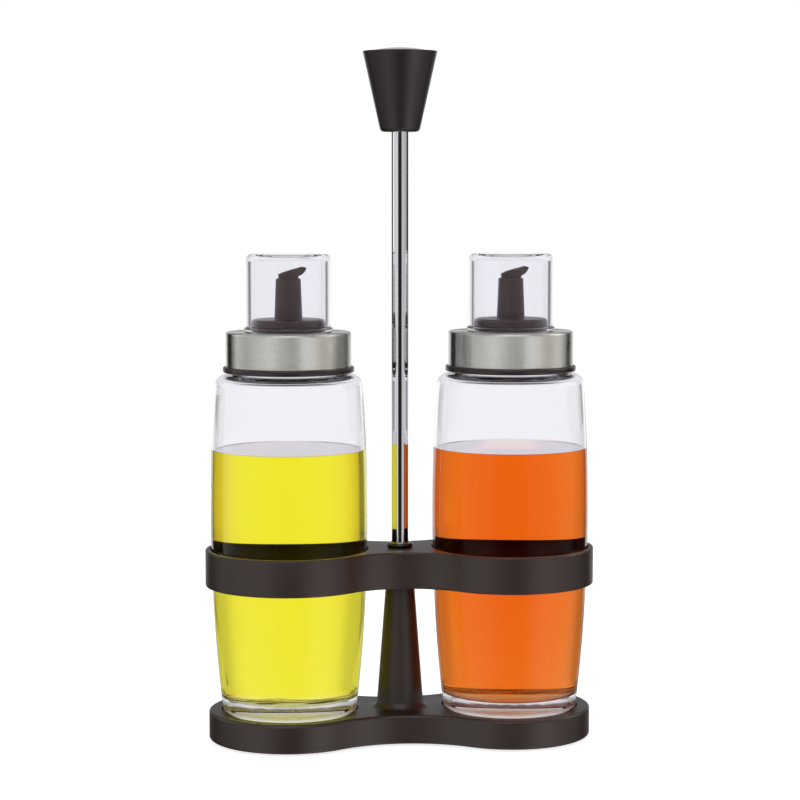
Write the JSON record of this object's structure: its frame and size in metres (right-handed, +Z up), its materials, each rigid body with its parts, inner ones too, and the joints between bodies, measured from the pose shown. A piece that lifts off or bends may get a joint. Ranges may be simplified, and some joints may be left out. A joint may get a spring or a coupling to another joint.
{
  "type": "cruet set",
  "caption": "Black stand with a carrying rod that holds glass oil and vinegar bottles, each with a steel-banded screw lid, a pourer and a lift-off dust cap.",
  "frame": {"origin": "on the table under the column, in the middle of the base", "axes": "+Z up along the rod, +X towards the vinegar bottle and the way both beaks point, -Y towards the front"},
  "size_m": [0.1842, 0.0792, 0.3259],
  "materials": {
    "black_abs": "fine moulded texture",
    "grip_black": "smooth matte moulding",
    "collar_black": "glossy moulding",
    "chrome_plate": "bright chrome plate",
    "polished_steel": "polished",
    "brushed_steel": "brushed round the band",
    "lid_black": "satin moulding",
    "pourer_black": "satin moulding",
    "clear_plastic": "clear moulding",
    "bottle_glass": "clear pressed glass",
    "oil_liquid": "clear yellow liquid",
    "vinegar_liquid": "clear orange liquid",
    "silicone": "translucent silicone",
    "zinc_steel": "zinc plated",
    "insert_brass": "turned",
    "foot_rubber": "moulded rubber"
  },
  "bodies": {
    "stand": {"base_column": "black_abs", "feet": "foot_rubber", "holder_band": "black_abs", "rod": "chrome_plate", "rod_collar": "collar_black", "base_screw": "zinc_steel", "base_washer": "zinc_steel", "grip_cone": "grip_black", "grip_insert": "insert_brass", "grip_disc": "polished_steel"},
    "oil_bottle": {"oil_bottle": "bottle_glass", "oil_fill": "oil_liquid"},
    "oil_seal": {"oil_lid_seal": "silicone"},
    "oil_lid": {"oil_lid_shell": "lid_black", "oil_lid_band": "brushed_steel", "oil_pourer": "pourer_black", "oil_beak": "pourer_black"},
    "oil_cap": {"oil_dust_cap": "clear_plastic"},
    "vinegar_bottle": {"vinegar_bottle": "bottle_glass", "vinegar_fill": "vinegar_liquid"},
    "vinegar_seal": {"vinegar_lid_seal": "silicone"},
    "vinegar_lid": {"vinegar_lid_shell": "lid_black", "vinegar_lid_band": "brushed_steel", "vinegar_pourer": "pourer_black", "vinegar_beak": "pourer_black"},
    "vinegar_cap": {"vinegar_dust_cap": "clear_plastic"}
  },
  "joints": [
    {"name": "oil_bottle_lift", "type": "slide", "parent": "stand", "child": "oil_bottle", "axis": [0, 0, 1], "range_m": [0, 0.105]},
    {"name": "oil_lid_lift", "type": "slide", "parent": "oil_bottle", "child": "oil_seal", "axis": [0, 0, 1], "range_m": [0, 0.03]},
    {"name": "oil_lid_turn", "type": "hinge", "parent": "oil_seal", "child": "oil_lid", "pos_m": [-0.0525, 0, 0.1918], "axis": [0, 0, 1], "range_deg": [0, 540]},
    {"name": "oil_cap_lift", "type": "slide", "parent": "oil_lid", "child": "oil_cap", "axis": [0, 0, 1], "range_m": [0, 0.04]},
    {"name": "vinegar_bottle_lift", "type": "slide", "parent": "stand", "child": "vinegar_bottle", "axis": [0, 0, 1], "range_m": [0, 0.105]},
    {"name": "vinegar_lid_lift", "type": "slide", "parent": "vinegar_bottle", "child": "vinegar_seal", "axis": [0, 0, 1], "range_m": [0, 0.03]},
    {"name": "vinegar_lid_turn", "type": "hinge", "parent": "vinegar_seal", "child": "vinegar_lid", "pos_m": [0.0525, 0, 0.1918], "axis": [0, 0, 1], "range_deg": [0, 540]},
    {"name": "vinegar_cap_lift", "type": "slide", "parent": "vinegar_lid", "child": "vinegar_cap", "axis": [0, 0, 1], "range_m": [0, 0.04]}
  ]
}
